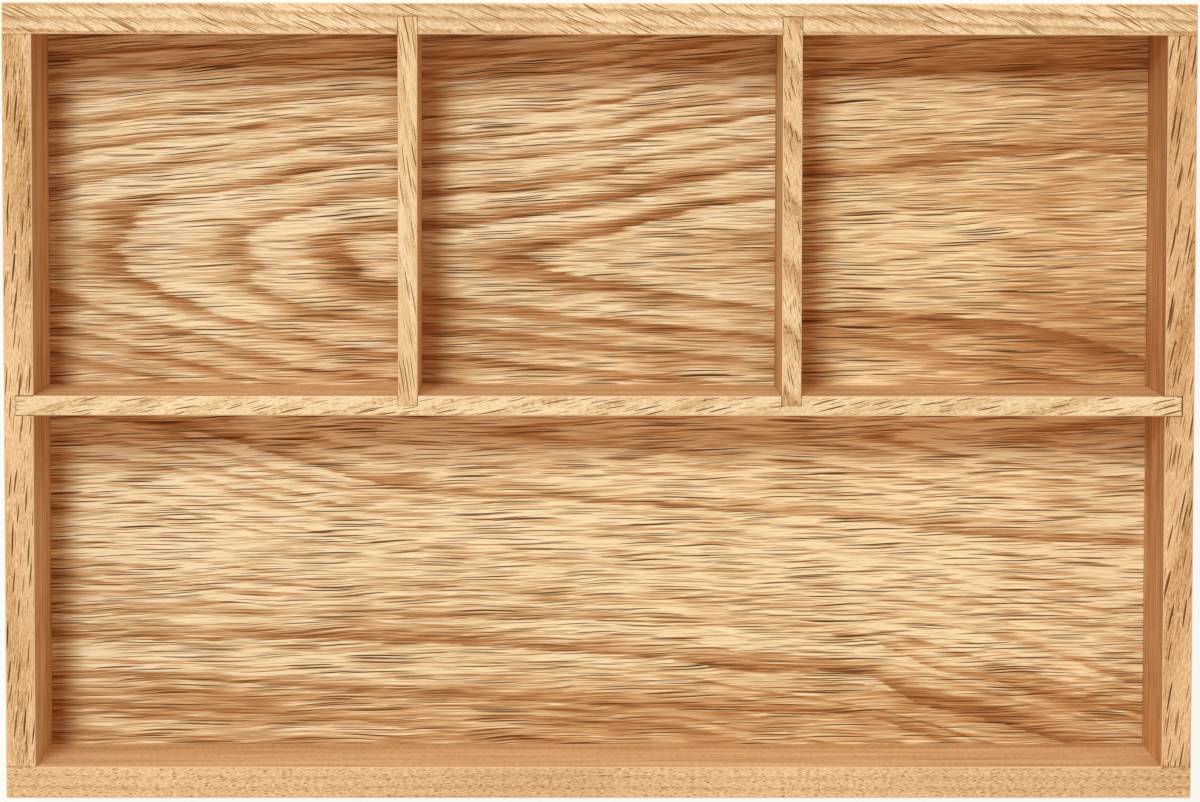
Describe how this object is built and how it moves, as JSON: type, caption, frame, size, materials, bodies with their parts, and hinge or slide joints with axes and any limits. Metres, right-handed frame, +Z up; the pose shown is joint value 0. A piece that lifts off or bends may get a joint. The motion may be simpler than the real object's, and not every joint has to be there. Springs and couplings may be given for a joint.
{
  "type": "organizer tray",
  "caption": "Shallow rectangular oak tray with straight rails, a wide bay along the front and a row of smaller bays behind it, set out by flush housed dividers.",
  "frame": {"origin": "middle of the footprint, on the plane the tray stands on", "axes": "+X to the right along the long side, +Y from the wide front bay to the row of smaller bays, +Z up out of the open top"},
  "size_m": [0.36, 0.241, 0.06],
  "materials": {
    "rail_oak": "solid oak, sanded, matt clear oil",
    "divider_oak": "solid oak, paler boards, sanded, matt clear oil",
    "panel_veneer": "flat-sawn oak veneer, sanded, matt clear oil",
    "panel_core": "plain cross-banded core, seen only inside the grooves",
    "dowel_beech": "fluted hardwood dowel, hidden in the corners"
  },
  "bodies": {
    "root": {"back_rail": "rail_oak", "front_rail": "rail_oak", "left_rail": "rail_oak", "right_rail": "rail_oak", "long_divider": "divider_oak", "short_divider_left": "divider_oak", "short_divider_right": "divider_oak", "base_core": "panel_core", "base_face_veneer": "panel_veneer", "base_back_veneer": "panel_veneer", "corner_dowels": "dowel_beech"}
  },
  "joints": []
}
